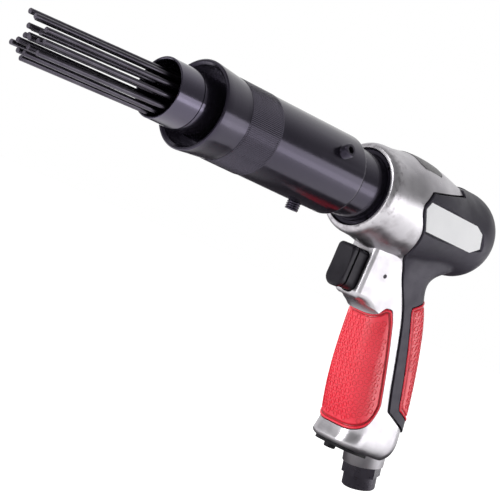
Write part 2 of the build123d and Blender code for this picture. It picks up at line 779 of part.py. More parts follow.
def make_needle_holder():
    holder = rod(holder_front_x, holder_rear_x, holder_radius)
    for spot in needle_places():
        middle, forward = needle_line(spot)
        holder -= bar(middle - forward * 20, middle + forward * 20, needle_radius + needle_hole_gap)
    return holder


def make_needle(spot):
    middle, forward = needle_line(spot)
    tip_x = needle_tip_x + needle_stagger[spot[0]]
    tip = middle + forward * ((middle.X - tip_x) / -forward.X)
    tail = tip - forward * needle_length
    needle = bar(tip, tail, needle_radius)
    needle = chamfer(needle.edges().group_by(Axis.X)[0], 0.3)
    return needle + bar(tail, tail + forward * needle_head_length, needle_head_radius)


def make_needle_spring():
    radius = holder_radius - needle_spring_wire - 1.0
    front_x, rear_x = flange_rear_x + seat_gap, holder_front_x - seat_gap
    return coil(front_x, rear_x, radius, needle_spring_wire, needle_spring_turns)


# Air inlet
def make_inlet_bushing():
    hexagon = extrude(RegularPolygon(bushing_hex / 2, 6, major_radius=False), amount=bushing_hex_height)
    bushing = Pos(0, 0, bushing_skirt / 2) * Cylinder(bushing_radius, bushing_skirt)
    bushing = chamfer(bushing.edges().group_by(Axis.Z)[0], 0.6)
    bushing += Pos(0, 0, bushing_skirt) * Rot(0, 0, bushing_hex_turn) * hexagon
    top = boss_foot + spigot_length
    spigot = top - bushing_skirt
    bushing += Pos(0, 0, bushing_skirt + spigot / 2) * Cylinder(spigot_radius, spigot)
    bushing -= Pos(0, 0, inlet_thread_depth / 2) * Cylinder(inlet_bore_radius, inlet_thread_depth)
    bushing -= Pos(0, 0, top / 2) * Cylinder(spigot_bore_radius, top + 2)
    return inlet_plane * bushing


def make_inlet_washer():
    washer = Cylinder(washer_radius, washer_thickness)
    washer -= Cylinder(spigot_radius + seat_gap, washer_thickness + 1)
    return inlet_plane * Pos(0, 0, boss_foot - washer_thickness / 2) * washer


def make_inlet_strainer():
    foot = boss_foot + spigot_length - strainer_length
    outer = spigot_bore_radius - seat_gap
    cup = Pos(0, 0, strainer_length / 2) * Cylinder(outer, strainer_length)
    cup -= Pos(0, 0, (strainer_length - strainer_wall) / 2) * Cylinder(
        outer - strainer_wall, strainer_length - strainer_wall
    )
    return inlet_plane * Pos(0, 0, foot) * cup


# Exhaust at the foot of the handle
def make_exhaust_plate():
    outline = handle_section(handle_stations[-1], -plate_inset)
    plate = extrude(outline, amount=plate_thickness, dir=(0, 0, -1))
    keep = Pos(plate_rear_x - 50, 0, base_z) * Box(100, 100, 20)
    plate = plate & keep
    boss_clear = boss_top_radius + 1.0
    plate -= inlet_plane * Pos(0, 0, boss_foot + 10) * Cylinder(boss_clear, 60)
    for step in range(plate_slots):
        x = exhaust_foot_x + (step - (plate_slots - 1) / 2) * plate_slot_pitch
        plate -= Pos(x, 0, base_z) * Box(plate_slot_width, plate_slot_length, 10)
    return plate - Pos(screw_x, 0, base_z) * Cylinder(screw_radius + 0.2, 10)


def make_exhaust_screw():
    top_z = plate_foot_z + screw_length - 1.0
    shank = bar((screw_x, 0, plate_foot_z), (screw_x, 0, top_z), screw_radius - seat_gap)
    head = Cylinder(screw_head_radius, screw_head_height)
    head = fillet(head.edges().group_by(Axis.Z)[0], 1.0)
    head -= Pos(0, 0, -screw_head_height / 2) * extrude(RegularPolygon(1.6, 6), amount=1.4)
    return shank + Pos(screw_x, 0, plate_foot_z - screw_head_height / 2) * head


def make_exhaust_muffler():
    foot, top = Vector(exhaust_foot_x, 0, base_z - 2), Vector(exhaust_top_x, 0, exhaust_top_z)
    up = (top - foot).normalized()
    start = foot + up * (2 + muffler_lift)
    return bar(start, start + up * muffler_length, exhaust_radius - seat_gap)


pieces = {
    "body": make_body,
    "rear_boot": make_boot,
    "grip_front": make_grip_front,
    "grip_rear": make_grip_rear,
    "label_plate": make_label,
    "top_badge": make_badge,
    "trigger": make_trigger,
    "trigger_pin": make_trigger_pin,
    "throttle_bush": make_throttle_bush,
    "throttle_seal": make_throttle_seal,
    "throttle_valve": make_throttle_valve,
    "throttle_spring": make_throttle_spring,
    "cylinder": make_cylinder,
    "cylinder_seal": make_cylinder_seal,
    "piston": make_piston,
    "anvil": make_anvil,
    "valve_block": make_valve_block,
    "valve_disc": make_valve_disc,
    "valve_cover": make_valve_cover,
    "retaining_ring": make_retaining_ring,
    "needle_sleeve": make_sleeve,
    "set_screws": make_set_screws,
    "front_tube": make_front_tube,
    "needle_holder": make_needle_holder,
    "needle_spring": make_needle_spring,
    "inlet_bushing": make_inlet_bushing,
    "inlet_washer": make_inlet_washer,
    "inlet_strainer": make_inlet_strainer,
    "exhaust_plate": make_exhaust_plate,
    "exhaust_screw": make_exhaust_screw,
    "exhaust_muffler": make_exhaust_muffler,
}

for name, make in pieces.items():
    save(name, make())

for spot in needle_places():
    save(f"needle_{spot[0] + 1:02d}", make_needle(spot))
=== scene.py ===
import json
import math

import bmesh
import bpy
from mathutils import Matrix, Vector
from mathutils.bvhtree import BVHTree
from mathutils.kdtree import KDTree


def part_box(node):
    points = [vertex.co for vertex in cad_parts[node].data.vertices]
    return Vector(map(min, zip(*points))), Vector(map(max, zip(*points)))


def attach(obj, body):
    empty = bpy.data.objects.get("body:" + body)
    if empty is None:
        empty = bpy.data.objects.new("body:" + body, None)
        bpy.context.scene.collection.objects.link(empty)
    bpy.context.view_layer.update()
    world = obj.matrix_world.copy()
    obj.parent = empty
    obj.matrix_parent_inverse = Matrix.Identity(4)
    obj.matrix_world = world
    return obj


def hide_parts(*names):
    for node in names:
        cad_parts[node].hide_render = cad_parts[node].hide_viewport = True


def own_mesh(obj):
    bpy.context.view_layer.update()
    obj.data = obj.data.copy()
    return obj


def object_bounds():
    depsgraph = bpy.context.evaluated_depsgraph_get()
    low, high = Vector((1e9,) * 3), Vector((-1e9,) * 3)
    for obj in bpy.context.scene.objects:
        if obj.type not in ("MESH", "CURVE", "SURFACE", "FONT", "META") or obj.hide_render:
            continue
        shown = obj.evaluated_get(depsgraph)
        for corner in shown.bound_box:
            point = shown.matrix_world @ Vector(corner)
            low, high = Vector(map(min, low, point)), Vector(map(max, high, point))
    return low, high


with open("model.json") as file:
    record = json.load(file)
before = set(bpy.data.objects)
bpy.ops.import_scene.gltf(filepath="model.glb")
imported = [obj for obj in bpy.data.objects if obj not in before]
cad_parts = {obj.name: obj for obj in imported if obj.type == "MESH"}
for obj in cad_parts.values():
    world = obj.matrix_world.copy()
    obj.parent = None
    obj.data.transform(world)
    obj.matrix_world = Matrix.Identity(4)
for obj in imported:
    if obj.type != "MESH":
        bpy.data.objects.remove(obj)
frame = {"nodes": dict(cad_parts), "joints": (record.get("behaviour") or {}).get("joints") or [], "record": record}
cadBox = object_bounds()
scene = bpy.context.scene
scene.view_settings.view_transform = "Standard"
bodyMembers = frame["record"]["behaviour"]["bodies"]
bodyOfNode = {node: body for body, nodes in bodyMembers.items() for node in nodes}

# Barrel line: pieces are measured in millimetres, x back from the rim of the head, z up from its axis
millimetre = 0.001
barrelLine = {"rimX": -101.6, "axisZ": 160.3}


def spot(x, y, z):
    return Vector((x + barrelLine["rimX"], y, z + barrelLine["axisZ"])) * millimetre


# Camera at the photo's viewing angle
photoCamera = {"aim": (-57.19, 0.0, -57.65), "turn": -43.507, "tilt": -0.091, "roll": 23.631,
               "distance": 1.19966, "lens": 158.065, "sensorWidth": 36.0, "clipEnd": 30.0}


def makeCamera():
    turn, tilt, roll = (math.radians(photoCamera[key]) for key in ("turn", "tilt", "roll"))
    back = Vector((math.sin(turn) * math.cos(tilt), -math.cos(turn) * math.cos(tilt), math.sin(tilt)))
    level = Vector((math.cos(turn), math.sin(turn), 0.0))
    upright = back.cross(level)
    right = level * math.cos(roll) + upright * math.sin(roll)
    up = upright * math.cos(roll) - level * math.sin(roll)
    data = bpy.data.cameras.new("photoCamera")
    data.lens = photoCamera["lens"]
    data.sensor_width = photoCamera["sensorWidth"]
    data.clip_end = photoCamera["clipEnd"]
    camera = bpy.data.objects.new("photoCamera", data)
    turned = Matrix((right, up, back)).transposed().to_4x4()
    place = spot(*photoCamera["aim"]) + back * photoCamera["distance"]
    camera.matrix_world = Matrix.Translation(place) @ turned
    scene.collection.objects.link(camera)
    scene.camera = camera


makeCamera()
print("camera set")

# Studio in metres: pale floor, a soft box on each side, a white room that is darker behind the camera
white = (1.0, 1.0, 1.0, 1.0)
studio = {
    "floorSize": 30.0, "floorDrop": 0.002, "floorColour": (0.80, 0.80, 0.80, 1.0), "floorLift": 0.74,
    "keyPlace": (0.34, -0.54, 0.16), "keySize": (0.70, 0.30), "keyPower": 1.75, "keyAim": (-60, 0, 0),
    "leftPlace": (-1.00, 0.16, 0.32), "leftSize": (0.60, 0.70), "leftPower": 8.5, "leftAim": (60, 0, -80),
    "fillStrength": 1.20, "backdropWay": (0.688, 0.725, 0.0),
    "roomLevel": 0.30, "roomStart": -0.05, "roomEnd": 0.62,
    # The card is a painted shadow under the tool, seen only in reflections
    "shadowCardLow": (-0.12, -0.08), "shadowCardHigh": (0.60, 0.60), "shadowCardColour": (0.080, 0.073, 0.084, 1.0),
    "shadowCardFade": 0.10,
}


def addSoftbox(side):
    # Each box is aimed at a place on the barrel line
    light = bpy.data.lights.new(side + "Softbox", "AREA")
    light.shape = "RECTANGLE"
    light.size, light.size_y = studio[side + "Size"]
    light.energy = studio[side + "Power"]
    box = bpy.data.objects.new(side + "Softbox", light)
    place = Vector(studio[side + "Place"])
    away = place - spot(*studio[side + "Aim"])
    box.matrix_world = Matrix.Translation(place) @ away.to_track_quat("Z", "Y").to_matrix().to_4x4()
    box.visible_camera = False
    scene.collection.objects.link(box)


def combine(tree, operation, first, second):
    node = tree.nodes.new("ShaderNodeMath")
    node.operation = operation
    tree.links.new(first, node.inputs[0])
    tree.links.new(second, node.inputs[1])
    return node.outputs["Value"]


def spread(tree, value, low, high, start=0.3, end=0.7):
    # From low to high while the value goes from start to end, by default the middle of a noise
    node = tree.nodes.new("ShaderNodeMapRange")
    for name, number in (("From Min", start), ("From Max", end), ("To Min", low), ("To Max", high)):
        node.inputs[name].default_value = number
    tree.links.new(value, node.inputs["Value"])
    return node.outputs["Result"]


def seenByEye(tree):
    # One for camera, glossy and transmission rays, by which the room and the floor are seen
    path = tree.nodes.new("ShaderNodeLightPath")
    total = path.outputs["Is Camera Ray"]
    for name in ("Is Glossy Ray", "Is Transmission Ray"):
        total = combine(tree, "MAXIMUM", total, path.outputs[name])
    return total


def makeSky():
    sky = bpy.data.worlds.new("studioSky")
    scene.world = sky
    sky.use_nodes = True
    tree = sky.node_tree
    background = tree.nodes["Background"]
    background.inputs["Color"].default_value = white
    backdrop = tree.nodes.new("ShaderNodeVectorMath")
    backdrop.operation = "DOT_PRODUCT"
    backdrop.inputs[1].default_value = studio["backdropWay"]
    tree.links.new(tree.nodes.new("ShaderNodeTexCoord").outputs["Generated"], backdrop.inputs[0])
    dimmed = (studio["roomLevel"], 1.0, studio["roomStart"], studio["roomEnd"])
    room = spread(tree, backdrop.outputs["Value"], *dimmed)
    room.node.interpolation_type = "SMOOTHSTEP"
    straight = tree.nodes.new("ShaderNodeLightPath").outputs["Is Camera Ray"]
    wall = combine(tree, "MAXIMUM", room, straight)
    level = spread(tree, seenByEye(tree), studio["fillStrength"], 1.0, 0.0, 1.0)
    tree.links.new(combine(tree, "MULTIPLY", level, wall), background.inputs["Strength"])


def addSheet(name, low, high, height, colour):
    # Flat matt sheet that lies level in the studio
    mesh = bpy.data.meshes.new(name)
    corners = [(low[0], low[1], height), (high[0], low[1], height), (high[0], high[1], height),
               (low[0], high[1], height)]
    mesh.from_pydata(corners, [], [(0, 1, 2, 3)])
    sheet = bpy.data.objects.new(name, mesh)
    scene.collection.objects.link(sheet)
    paper = bpy.data.materials.new(name)
    paper.use_nodes = True
    shader = paper.node_tree.nodes["Principled BSDF"]
    shader.inputs["Base Color"].default_value = colour
    shader.inputs["Roughness"].default_value = 1.0
    shader.inputs["Specular IOR Level"].default_value = 0.0
    mesh.materials.append(paper)
    return sheet


def makeFloor():
    half = studio["floorSize"] / 2
    height = cadBox[0][2] - studio["floorDrop"]
    floor = addSheet("studioFloor", (-half, -half), (half, half), height, studio["floorColour"])
    tree = floor.active_material.node_tree
    shader = tree.nodes["Principled BSDF"]
    shader.inputs["Emission Color"].default_value = white
    lift = spread(tree, seenByEye(tree), 0.0, studio["floorLift"], 0.0, 1.0)
    tree.links.new(lift, shader.inputs["Emission Strength"])


def makeShadowCard():
    # Painted shadow: a dark card under the tool, seen only in reflections, where the tool's own shadow on the
    # floor would be
    height = cadBox[0][2] - studio["floorDrop"] / 2
    card = addSheet("darkCard", studio["shadowCardLow"], studio["shadowCardHigh"], height, studio["shadowCardColour"])
    card.visible_camera = False
    card.visible_diffuse = False
    card.visible_shadow = False
    tree = card.active_material.node_tree
    axes = tree.nodes.new("ShaderNodeSeparateXYZ")
    tree.links.new(tree.nodes.new("ShaderNodeTexCoord").outputs["Object"], axes.inputs["Vector"])
    left = studio["shadowCardLow"][0]
    faded = spread(tree, axes.outputs["X"], 0.0, 1.0, left, left + studio["shadowCardFade"])
    tree.links.new(faded, tree.nodes["Principled BSDF"].inputs["Alpha"])


makeSky()
makeFloor()
makeShadowCard()
addSoftbox("key")
addSoftbox("left")
print("studio set")


# Finishes: noise on object coordinates gives each one its grain, its uneven gloss and its colour drift

noiseDetail = {"drift": 3.0, "gloss": 4.0, "relief": 2.0}
evenly = (1.0, 1.0, 1.0)
aroundBarrel = (1.0, 0.03, 0.03)  # marks left by turning about the barrel line
alongBarrel = (0.03, 1.0, 1.0)


def startFinish(name, sockets):
    finish = bpy.data.materials.new(name)
    finish.use_nodes = True
    tree = finish.node_tree
    shader = tree.nodes["Principled BSDF"]
    for socket, value in sockets.items():
        shader.inputs[socket].default_value = value
    coords = tree.nodes.new("ShaderNodeTexCoord")
    return finish, tree, shader, coords.outputs["Object"]


def addNoise(tree, coords, scale, detail, stretch=evenly):
    mapping = tree.nodes.new("ShaderNodeMapping")
    mapping.inputs["Scale"].default_value = stretch
    tree.links.new(coords, mapping.inputs["Vector"])
    texture = tree.nodes.new("ShaderNodeTexNoise")
    texture.inputs["Scale"].default_value = scale
    texture.inputs["Detail"].default_value = detail
    tree.links.new(mapping.outputs["Vector"], texture.inputs["Vector"])
    return texture.outputs["Fac"]


def blendColours(tree, value, first, second):
    node = tree.nodes.new("ShaderNodeMix")
    node.data_type = "RGBA"
    node.inputs["A"].default_value = (*first, 1.0)
    node.inputs["B"].default_value = (*second, 1.0)
    tree.links.new(value, node.inputs["Factor"])
    return node.outputs["Result"]


def addRelief(tree, shader, layers):
    # Each layer: height, strength and depth in metres
    below = None
    for height, strength, depth in layers:
        bump = tree.nodes.new("ShaderNodeBump")
        bump.inputs["Strength"].default_value = strength
        bump.inputs["Distance"].default_value = depth
        tree.links.new(height, bump.inputs["Height"])
        if below:
            tree.links.new(below, bump.inputs["Normal"])
        below = bump.outputs["Normal"]
    tree.links.new(below, shader.inputs["Normal"])


def makeFinish(name, sockets, colours, drift, gloss, layers):
    # Two colours and the scale of their drift, scale and limits of the roughness, layers of relief
    finish, tree, shader, coords = startFinish(name, sockets)
    cloud = spread(tree, addNoise(tree, coords, drift, noiseDetail["drift"]), 0.0, 1.0)
    tree.links.new(blendColours(tree, cloud, *colours), shader.inputs["Base Color"])
    scale, low, high = gloss
    patches = spread(tree, addNoise(tree, coords, scale, noiseDetail["gloss"]), low, high)
    tree.links.new(patches, shader.inputs["Roughness"])
    reliefs = []
    for grain, strength, depth, stretch in layers:
        height = addNoise(tree, coords, grain, noiseDetail["relief"], stretch)
        reliefs.append((height, strength, depth))
    addRelief(tree, shader, reliefs)
    return finish


finishes = {
    "cast_aluminium": makeFinish(
        "castAluminium", {"Metallic": 1.0}, ((0.385, 0.37, 0.395), (0.54, 0.525, 0.55)), 42.0,
        (130.0, 0.27, 0.40),
        [(40.0, 0.55, 0.0012, evenly), (170.0, 0.30, 0.00012, evenly), (1900.0, 0.12, 0.00004, evenly)]),
    "soft_cover": makeFinish(
        "softCover", {"Specular IOR Level": 0.42, "Specular Tint": (0.90, 0.84, 1.0, 1.0)},
        ((0.016, 0.0145, 0.021), (0.024, 0.022, 0.031)), 45.0,
        (160.0, 0.42, 0.54), [(2400.0, 0.30, 0.00006, evenly)]),
    "red_rubber": makeFinish(
        "redRubber", {"Specular IOR Level": 0.68}, ((0.80, 0.018, 0.044), (0.88, 0.027, 0.060)), 60.0,
        (220.0, 0.27, 0.38), [(2100.0, 0.25, 0.00005, evenly)]),
    # Rings in a deeper red: painted shade standing in for the shadow that outlines them
    "ringRed": makeFinish(
        "ringRed", {"Specular IOR Level": 0.60}, ((0.65, 0.011, 0.029), (0.73, 0.017, 0.040)), 60.0,
        (220.0, 0.29, 0.40), [(2100.0, 0.25, 0.00005, evenly)]),
    "label_white": makeFinish(
        "labelWhite", {"Specular IOR Level": 0.22}, ((0.80, 0.80, 0.82), (0.85, 0.85, 0.865)), 60.0,
        (140.0, 0.34, 0.46), [(900.0, 0.10, 0.00003, evenly)]),
    "badge_grey": makeFinish(
        "badgeGrey", {}, ((0.060, 0.055, 0.062), (0.085, 0.078, 0.086)), 70.0, (300.0, 0.32, 0.44),
        [(2200.0, 0.2, 0.00004, alongBarrel)]),
    "trigger_black": makeFinish(
        "triggerBlack", {"Specular IOR Level": 0.20, "Specular Tint": (0.92, 0.86, 1.0, 1.0)},
        ((0.006, 0.0055, 0.0075), (0.010, 0.009, 0.012)), 70.0,
        (260.0, 0.30, 0.42), [(2600.0, 0.22, 0.00004, evenly)]),
    "black_steel": makeFinish(
        "blackSteel", {"IOR": 1.56, "Specular Tint": (0.79, 0.70, 1.0, 1.0)},
        ((0.006, 0.0052, 0.008), (0.010, 0.0087, 0.0125)), 40.0, (110.0, 0.14, 0.21),
        [(2600.0, 0.10, 0.00002, aroundBarrel), (55.0, 0.08, 0.0002, evenly)]),
    "tubeBlack": makeFinish(
        "tubeBlack", {"IOR": 1.86, "Specular Tint": (0.79, 0.71, 1.0, 1.0)},
        ((0.006, 0.0052, 0.008), (0.010, 0.0087, 0.0125)), 40.0, (110.0, 0.11, 0.18),
        [(2600.0, 0.10, 0.00002, aroundBarrel)]),
    "plateBlack": makeFinish(
        "plateBlack", {"Specular IOR Level": 0.12}, ((0.006, 0.0055, 0.0075), (0.010, 0.009, 0.012)), 60.0,
        (200.0, 0.34, 0.46), [(1500.0, 0.25, 0.00005, evenly)]),
    "bushingBlack": makeFinish(
        "bushingBlack", {"Specular IOR Level": 1.0, "Specular Tint": (0.90, 0.84, 1.0, 1.0)},
        ((0.024, 0.0215, 0.028), (0.034, 0.0305, 0.039)), 60.0, (200.0, 0.24, 0.34),
        [(1500.0, 0.20, 0.00004, evenly)]),
    "needle_steel": makeFinish(
        "needleSteel", {"Metallic": 1.0}, ((0.052, 0.046, 0.060), (0.084, 0.077, 0.095)), 75.0,
        (180.0, 0.26, 0.40), [(3000.0, 0.15, 0.00002, alongBarrel)]),
    "plain_steel": makeFinish(
        "plainSteel", {"Metallic": 1.0}, ((0.50, 0.50, 0.52), (0.58, 0.58, 0.60)), 50.0,
        (160.0, 0.22, 0.34), [(2800.0, 0.12, 0.00002, aroundBarrel)]),
    "valve_brass": makeFinish(
        "valveBrass", {"Metallic": 1.0}, ((0.66, 0.46, 0.18), (0.76, 0.56, 0.26)), 50.0,
        (160.0, 0.20, 0.32), [(2800.0, 0.12, 0.00002, aroundBarrel)]),
    "seal_rubber": makeFinish(
        "sealRubber", {}, ((0.016, 0.016, 0.018), (0.026, 0.026, 0.028)), 90.0, (260.0, 0.55, 0.70),
        [(2200.0, 0.2, 0.00004, evenly)]),
    "muffler_felt": makeFinish(
        "mufflerFelt", {}, ((0.48, 0.46, 0.40), (0.60, 0.58, 0.52)), 240.0, (400.0, 0.88, 0.98),
        [(1400.0, 0.6, 0.0002, evenly)]),
}

# Darkening of the aluminium: dark patches behind the rim, painted shade under the head
rimPatchesAndUnderShade = {
    "rimFade": (3.0, 20.0), "lowFade": (-18.0, -2.0), "footFade": (-36.0, -28.0),
    "fine": {"scale": 330.0, "detail": 5.0, "most": 0.9, "start": 0.52, "end": 0.70},
    "broad": {"scale": 110.0, "detail": 3.0, "most": 0.8, "start": 0.46, "end": 0.66},
    "colour": (0.28, 0.262, 0.28, 1.0),
}


def coverColour(tree, share, colour):
    # Lays a second colour over the finish's own one by this share
    shader = tree.nodes["Principled BSDF"]
    mix = tree.nodes.new("ShaderNodeMix")
    mix.data_type = "RGBA"
    mix.inputs["B"].default_value = colour
    tree.links.new(share, mix.inputs["Factor"])
    tree.links.new(shader.inputs["Base Color"].links[0].from_socket, mix.inputs["A"])
    tree.links.new(mix.outputs["Result"], shader.inputs["Base Color"])


def addRimPatchesAndUnderShade(finish):
    # Dark patches behind the rim of the head, and painted shade in patches on its underside
    tree = finish.node_tree
    coords = next(node for node in tree.nodes if node.type == "TEX_COORD").outputs["Object"]
    axes = tree.nodes.new("ShaderNodeSeparateXYZ")
    tree.links.new(coords, axes.inputs["Vector"])
    nearRim = spread(tree, axes.outputs["X"], 1.0, 0.0, *(spot(x, 0, 0).x for x in rimPatchesAndUnderShade["rimFade"]))
    below = spread(tree, axes.outputs["Z"], 1.0, 0.0, *(spot(0, 0, z).z for z in rimPatchesAndUnderShade["lowFade"]))
    head = spread(tree, axes.outputs["Z"], 0.0, 1.0, *(spot(0, 0, z).z for z in rimPatchesAndUnderShade["footFade"]))

    def patches(size):
        noise = addNoise(tree, coords, size["scale"], size["detail"])
        return spread(tree, noise, 0.0, size["most"], size["start"], size["end"])

    rimPatches = combine(tree, "MULTIPLY", nearRim, patches(rimPatchesAndUnderShade["fine"]))
    underside = combine(tree, "MULTIPLY", below, head)
    # Patches on the underside are painted shade
    undersideShade = combine(tree, "MULTIPLY", underside, patches(rimPatchesAndUnderShade["broad"]))
    coverColour(tree, combine(tree, "MAXIMUM", rimPatches, undersideShade), rimPatchesAndUnderShade["colour"])


addRimPatchesAndUnderShade(finishes["cast_aluminium"])
print("finishes:", len(finishes))


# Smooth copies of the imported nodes, their loose triangles merged

needleCount = 19
nodesOfSlot = {
    "cast_aluminium": ["body"],
    "soft_cover": ["rear_boot"],
    "red_rubber": ["grip_front", "grip_rear"],
    "label_white": ["label_plate"],
    "badge_grey": ["top_badge"],
    "trigger_black": ["trigger"],
    "black_steel": ["needle_sleeve", "set_screws", "front_tube", "cylinder", "retaining_ring",
                    "inlet_bushing", "exhaust_plate", "exhaust_screw"],
    "plain_steel": ["needle_holder", "needle_spring", "anvil", "piston", "valve_block", "valve_disc",
                    "valve_cover", "trigger_pin", "throttle_spring"],
    "valve_brass": ["throttle_bush", "throttle_valve", "inlet_strainer"],
    "seal_rubber": ["throttle_seal", "cylinder_seal", "inlet_washer"],
    "muffler_felt": ["exhaust_muffler"],
    "needle_steel": [f"needle_{index:02d}" for index in range(1, needleCount + 1)],
}
slotOfNode = {node: slot for slot, nodes in nodesOfSlot.items() for node in nodes}
shownNodes = ["rear_boot", "label_plate", "top_badge", "trigger", "trigger_pin", "needle_sleeve",
              "front_tube", "cylinder", "retaining_ring", "inlet_bushing", "exhaust_plate", "exhaust_screw",
              "needle_holder", "inlet_washer", *nodesOfSlot["needle_steel"]]
remadeNodes = ["body", "grip_front", "grip_rear", "set_screws", "needle_spring", "throttle_spring"]
ownFinish = {"exhaust_plate": "plateBlack", "exhaust_screw": "plateBlack", "inlet_bushing": "bushingBlack",
             "front_tube": "tubeBlack"}
mergeDistance = 0.002
sharpFrom = {"plain": 30.0, "thread": 40.0, "bead": 50.0}  # degrees from which an edge stays sharp


def mergedMesh(node, name):
    merged = bmesh.new()
    merged.from_mesh(frame["nodes"][node].data)
    bmesh.ops.remove_doubles(merged, verts=merged.verts, dist=mergeDistance * millimetre)
    mesh = bpy.data.meshes.new(name)
    merged.to_mesh(mesh)
    merged.free()
    if "custom_normal" in mesh.attributes:
        mesh.attributes.remove(mesh.attributes["custom_normal"])
    return mesh


def smoothFaces(mesh, angle):
    mesh.shade_smooth()
    mesh.set_sharp_from_angle(angle=math.radians(angle))


def addPiece(name, mesh, slot, body, node=None, finish=None):
    piece = bpy.data.objects.new(name, mesh)
    scene.collection.objects.link(piece)
    mesh.materials.clear()
    mesh.materials.append(finishes[finish or slot])
    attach(piece, body)
    if node:
        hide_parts(node)
    return piece


def pieceName(node):
    words = node.split("_")
    return words[0] + "".join(word.capitalize() for word in words[1:]) + "Smooth"


for node in shownNodes:
    mesh = mergedMesh(node, pieceName(node))
    smoothFaces(mesh, sharpFrom["plain"])
    addPiece(pieceName(node), mesh, slotOfNode[node], bodyOfNode[node], node, ownFinish.get(node))
for node, slot in slotOfNode.items():
    if node not in shownNodes + remadeNodes:
        for packedSlot in frame["nodes"][node].material_slots:
            packedSlot.material = finishes[slot]
print("smooth copies:", len(shownNodes))


# Rounded grips: moulded rubber has no sharp edge, so its border turns into a soft bead

grips = {
    "grip_front": {"rearward": False,
                   "stations": [(-56.0, 42.1, 15.8), (-80.0, 45.6, 16.6), (-97.0, 49.0, 17.2),
                                (-110.0, 52.6, 17.7), (-122.0, 57.2, 18.4), (-134.0, 59.0, 19.1)]},
    "grip_rear": {"rearward": True,
                  "stations": [(-36.0, 76.2, 15.2), (-52.0, 82.4, 16.1), (-64.0, 88.0, 16.6),
                               (-80.0, 93.8, 17.0), (-110.0, 102.2, 17.6), (-124.0, 104.6, 18.1)]},
}  # each station holds a height, the edge of the handle there and half its width
gripMould = {"voxel": 0.36, "softening": 0.5, "rounds": 2}
gripBead = {"sharpest": 40.0, "step": 0.1, "grooveReach": 0.85, "grooveDepth": 0.80,
            "rimReach": 0.90, "rimDepth": 0.42, "grooveShadeColour": (0.34, 0.004, 0.012, 1.0)}
gripRing = {"corner": 12.0, "alongPitch": 3.95, "acrossPitch": 3.4, "rake": 14.5, "rows": 13,
            "radius": 1.44, "width": 0.46, "height": 0.40, "lift": 0.10, "segments": 12}
gripField = {"castFrom": 6.0, "facing": 0.5, "probes": 12, "probeFrom": 4.0, "margin": 0.5,
             "higher": 0.10, "lower": 0.45}


def evaluated(piece, name):
    mesh = bpy.data.meshes.new_from_object(piece.evaluated_get(bpy.context.evaluated_depsgraph_get()))
    mesh.name = name
    return mesh


def roundedMesh(node, name):
    helper = bpy.data.objects.new(name + "Helper", mergedMesh(node, name + "Helper"))
    scene.collection.objects.link(helper)
    remesh = helper.modifiers.new("remesh", "REMESH")
    remesh.mode = "VOXEL"
    remesh.voxel_size = gripMould["voxel"] * millimetre
    soften = helper.modifiers.new("soften", "SMOOTH")
    soften.factor = gripMould["softening"]
    soften.iterations = gripMould["rounds"]
    mesh = evaluated(helper, name)
    bpy.data.objects.remove(helper)
    mesh.shade_smooth()
    return mesh


def edgeTree(node, hollow):
    # Points along the node's hollow or its outer sharp edges
    merged = bmesh.new()
    merged.from_mesh(mergedMesh(node, node + "Edges"))
    sharpest = math.radians(gripBead["sharpest"])
    spacing = gripBead["step"] * millimetre
    points = []
    for edge in merged.edges:
        bend = edge.calc_face_angle_signed(0.0)
        if abs(bend) > sharpest and (bend < 0.0) == hollow:
            start, end = (vert.co for vert in edge.verts)
            steps = max(1, round((end - start).length / spacing))
            points.extend(start.lerp(end, step / steps) for step in range(steps + 1))
    merged.free()
    tree = KDTree(len(points))
    for index, point in enumerate(points):
        tree.insert(point, index)
    tree.balance()
    return tree


def carveBead(mesh, node):
    # A groove along the foot of the border and a round on its rim leave a bead
    normals = [vert.normal.copy() for vert in mesh.vertices]
    shade = mesh.attributes.new("groove", "FLOAT", "POINT")
    for hollow, kind in ((False, "rim"), (True, "groove")):
        tree = edgeTree(node, hollow)
        reach, depth = (gripBead[kind + part] * millimetre for part in ("Reach", "Depth"))
        for vert, normal in zip(mesh.vertices, normals):
            distance = tree.find(vert.co)[2]
            if distance < reach:
                share = 1.0 - (distance / reach) ** 2
                vert.co = vert.co - normal * depth * share
                # The share near the groove is kept for its painted shade
                if hollow:
                    shade.data[vert.index].value = share


def shadeGroove(finish):
    # The groove's red is deepened by painted shade, with some dust
    tree = finish.node_tree
    groove = tree.nodes.new("ShaderNodeAttribute")
    groove.attribute_name = "groove"
    coverColour(tree, groove.outputs["Fac"], gripBead["grooveShadeColour"])


def stationAt(stations, height):
    # Edge of the handle and half its width between two stations
    for upper, lower in zip(stations, stations[1:]):
        if lower[0] <= height <= upper[0]:
            share = (upper[0] - height) / (upper[0] - lower[0])
            return [a + (b - a) * share for a, b in zip(upper[1:], lower[1:])]


def aroundHandle(size, height, travel):
    # Point and outward direction on the handle's section, by the way round from its middle
    edge, half = stationAt(size["stations"], height)
    corner = gripRing["corner"]
    flat = half - corner
    way = abs(travel)
    side = math.copysign(1.0, travel)
    quarter = corner * math.pi / 2
    if way <= flat:
        depth, across, normal = 0.0, way, (-1.0, 0.0)
    elif way <= flat + quarter:
        angle = (way - flat) / corner
        depth, across = corner - corner * math.cos(angle), flat + corner * math.sin(angle)
        normal = (-math.cos(angle), math.sin(angle))
    else:
        depth, across, normal = corner + way - flat - quarter, half, (0.0, 1.0)
    turn = -1.0 if size["rearward"] else 1.0
    point = spot(edge + turn * depth, side * across, height)
    return point, Vector((turn * normal[0], side * normal[1], 0.0))


def liesInField(tree, point, normal):
    # True where the whole ring rests on the sunk field and not on the border
    across = normal.orthogonal().normalized()
    along = normal.cross(across)
    reach = (gripRing["radius"] + gripField["margin"]) * millimetre
    above = gripField["probeFrom"] * millimetre
    for probe in range(gripField["probes"]):
        angle = 2 * math.pi * probe / gripField["probes"]
        rim = point + (across * math.cos(angle) + along * math.sin(angle)) * reach
        distance = tree.ray_cast(rim + normal * above, -normal)[3]
        if distance is None:
            return False
        if not -gripField["higher"] < (distance - above) / millimetre < gripField["lower"]:
            return False
    return True


